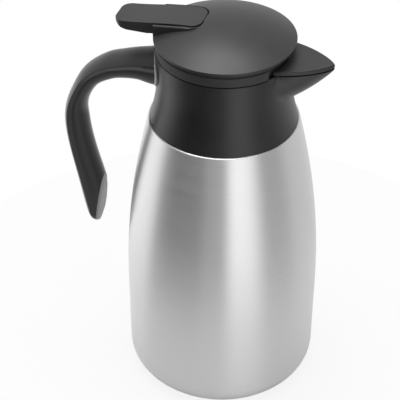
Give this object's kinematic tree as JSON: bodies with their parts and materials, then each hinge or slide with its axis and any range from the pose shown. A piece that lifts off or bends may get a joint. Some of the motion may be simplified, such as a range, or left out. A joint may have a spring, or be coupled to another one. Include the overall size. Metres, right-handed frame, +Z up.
{
  "type": "thermal carafe",
  "caption": "Vacuum carafe with a steel body, black collar with covered spout, open hook handle, and a screw-in domed lid whose thumb lever lifts a pouring valve",
  "frame": {"origin": "on the axis of the round body, at the plane it stands on", "axes": "+Z up along the body's axis, +X towards the spout, -X towards the handle; the object is symmetric across the XZ plane"},
  "size_m": [0.19, 0.138, 0.288],
  "materials": {
    "steel_body": "fine horizontal brushing, satin",
    "steel_liner": "plain rolled steel, satin",
    "collar_plastic": "black moulded plastic, fine matt texture",
    "lid_plastic": "black moulded plastic, fine matt texture",
    "handle_plastic": "black moulded plastic, fine matt texture",
    "cap_plastic": "grey moulded plastic, matt",
    "stopper_plastic": "black food-safe plastic",
    "silicone": "grey silicone rubber",
    "spring_steel": "bright drawn wire and turned steel"
  },
  "bodies": {
    "carafe": {"outer_shell": "steel_body", "inner_vessel": "steel_liner", "base_disc": "steel_liner", "vacuum_seal_cap": "steel_liner", "getter_tablet": "spring_steel", "collar": "collar_plastic", "collar_gasket": "silicone", "rim_ring": "collar_plastic", "spout_cover": "lid_plastic", "handle": "handle_plastic", "handle_end_cap": "cap_plastic", "handle_screws": "spring_steel"},
    "lid_carrier": {"neck_seal": "silicone"},
    "lid": {"stopper_barrel": "stopper_plastic", "stopper_plate": "stopper_plastic", "stopper_cup": "stopper_plastic", "top_gasket": "silicone", "dome_lid": "lid_plastic", "lid_screws": "spring_steel", "lever_pin": "spring_steel", "return_spring": "spring_steel"},
    "lever": {"thumb_lever": "lid_plastic"},
    "valve": {"valve_poppet": "stopper_plastic", "poppet_washer": "silicone", "valve_stem": "spring_steel", "spring_clip": "spring_steel", "lift_pin": "spring_steel"}
  },
  "joints": [
    {"name": "lid_lift", "type": "slide", "parent": "carafe", "child": "lid_carrier", "axis": [0, 0, 1], "range_m": [0, 0.09]},
    {"name": "lid_turn", "type": "hinge", "parent": "lid_carrier", "child": "lid", "pos_m": [0, 0, 0.26], "axis": [0, 0, 1], "range_deg": [0, 120]},
    {"name": "lever_press", "type": "hinge", "parent": "lid", "child": "lever", "pos_m": [-0.038, 0, 0.2776], "axis": [0, -1, 0], "range_deg": [0, 12.2], "stiffness_Nm_per_rad": 1.45, "springref_deg": -2.01},
    {"name": "valve_lift", "type": "slide", "parent": "lid", "child": "valve", "axis": [0, 0, 1], "range_m": [0, 0.008], "deforming": ["return_spring"]}
  ],
  "couplings": [
    {"joint": "lever_press", "follows": "valve_lift", "rad_per_m": 26.11}
  ]
}
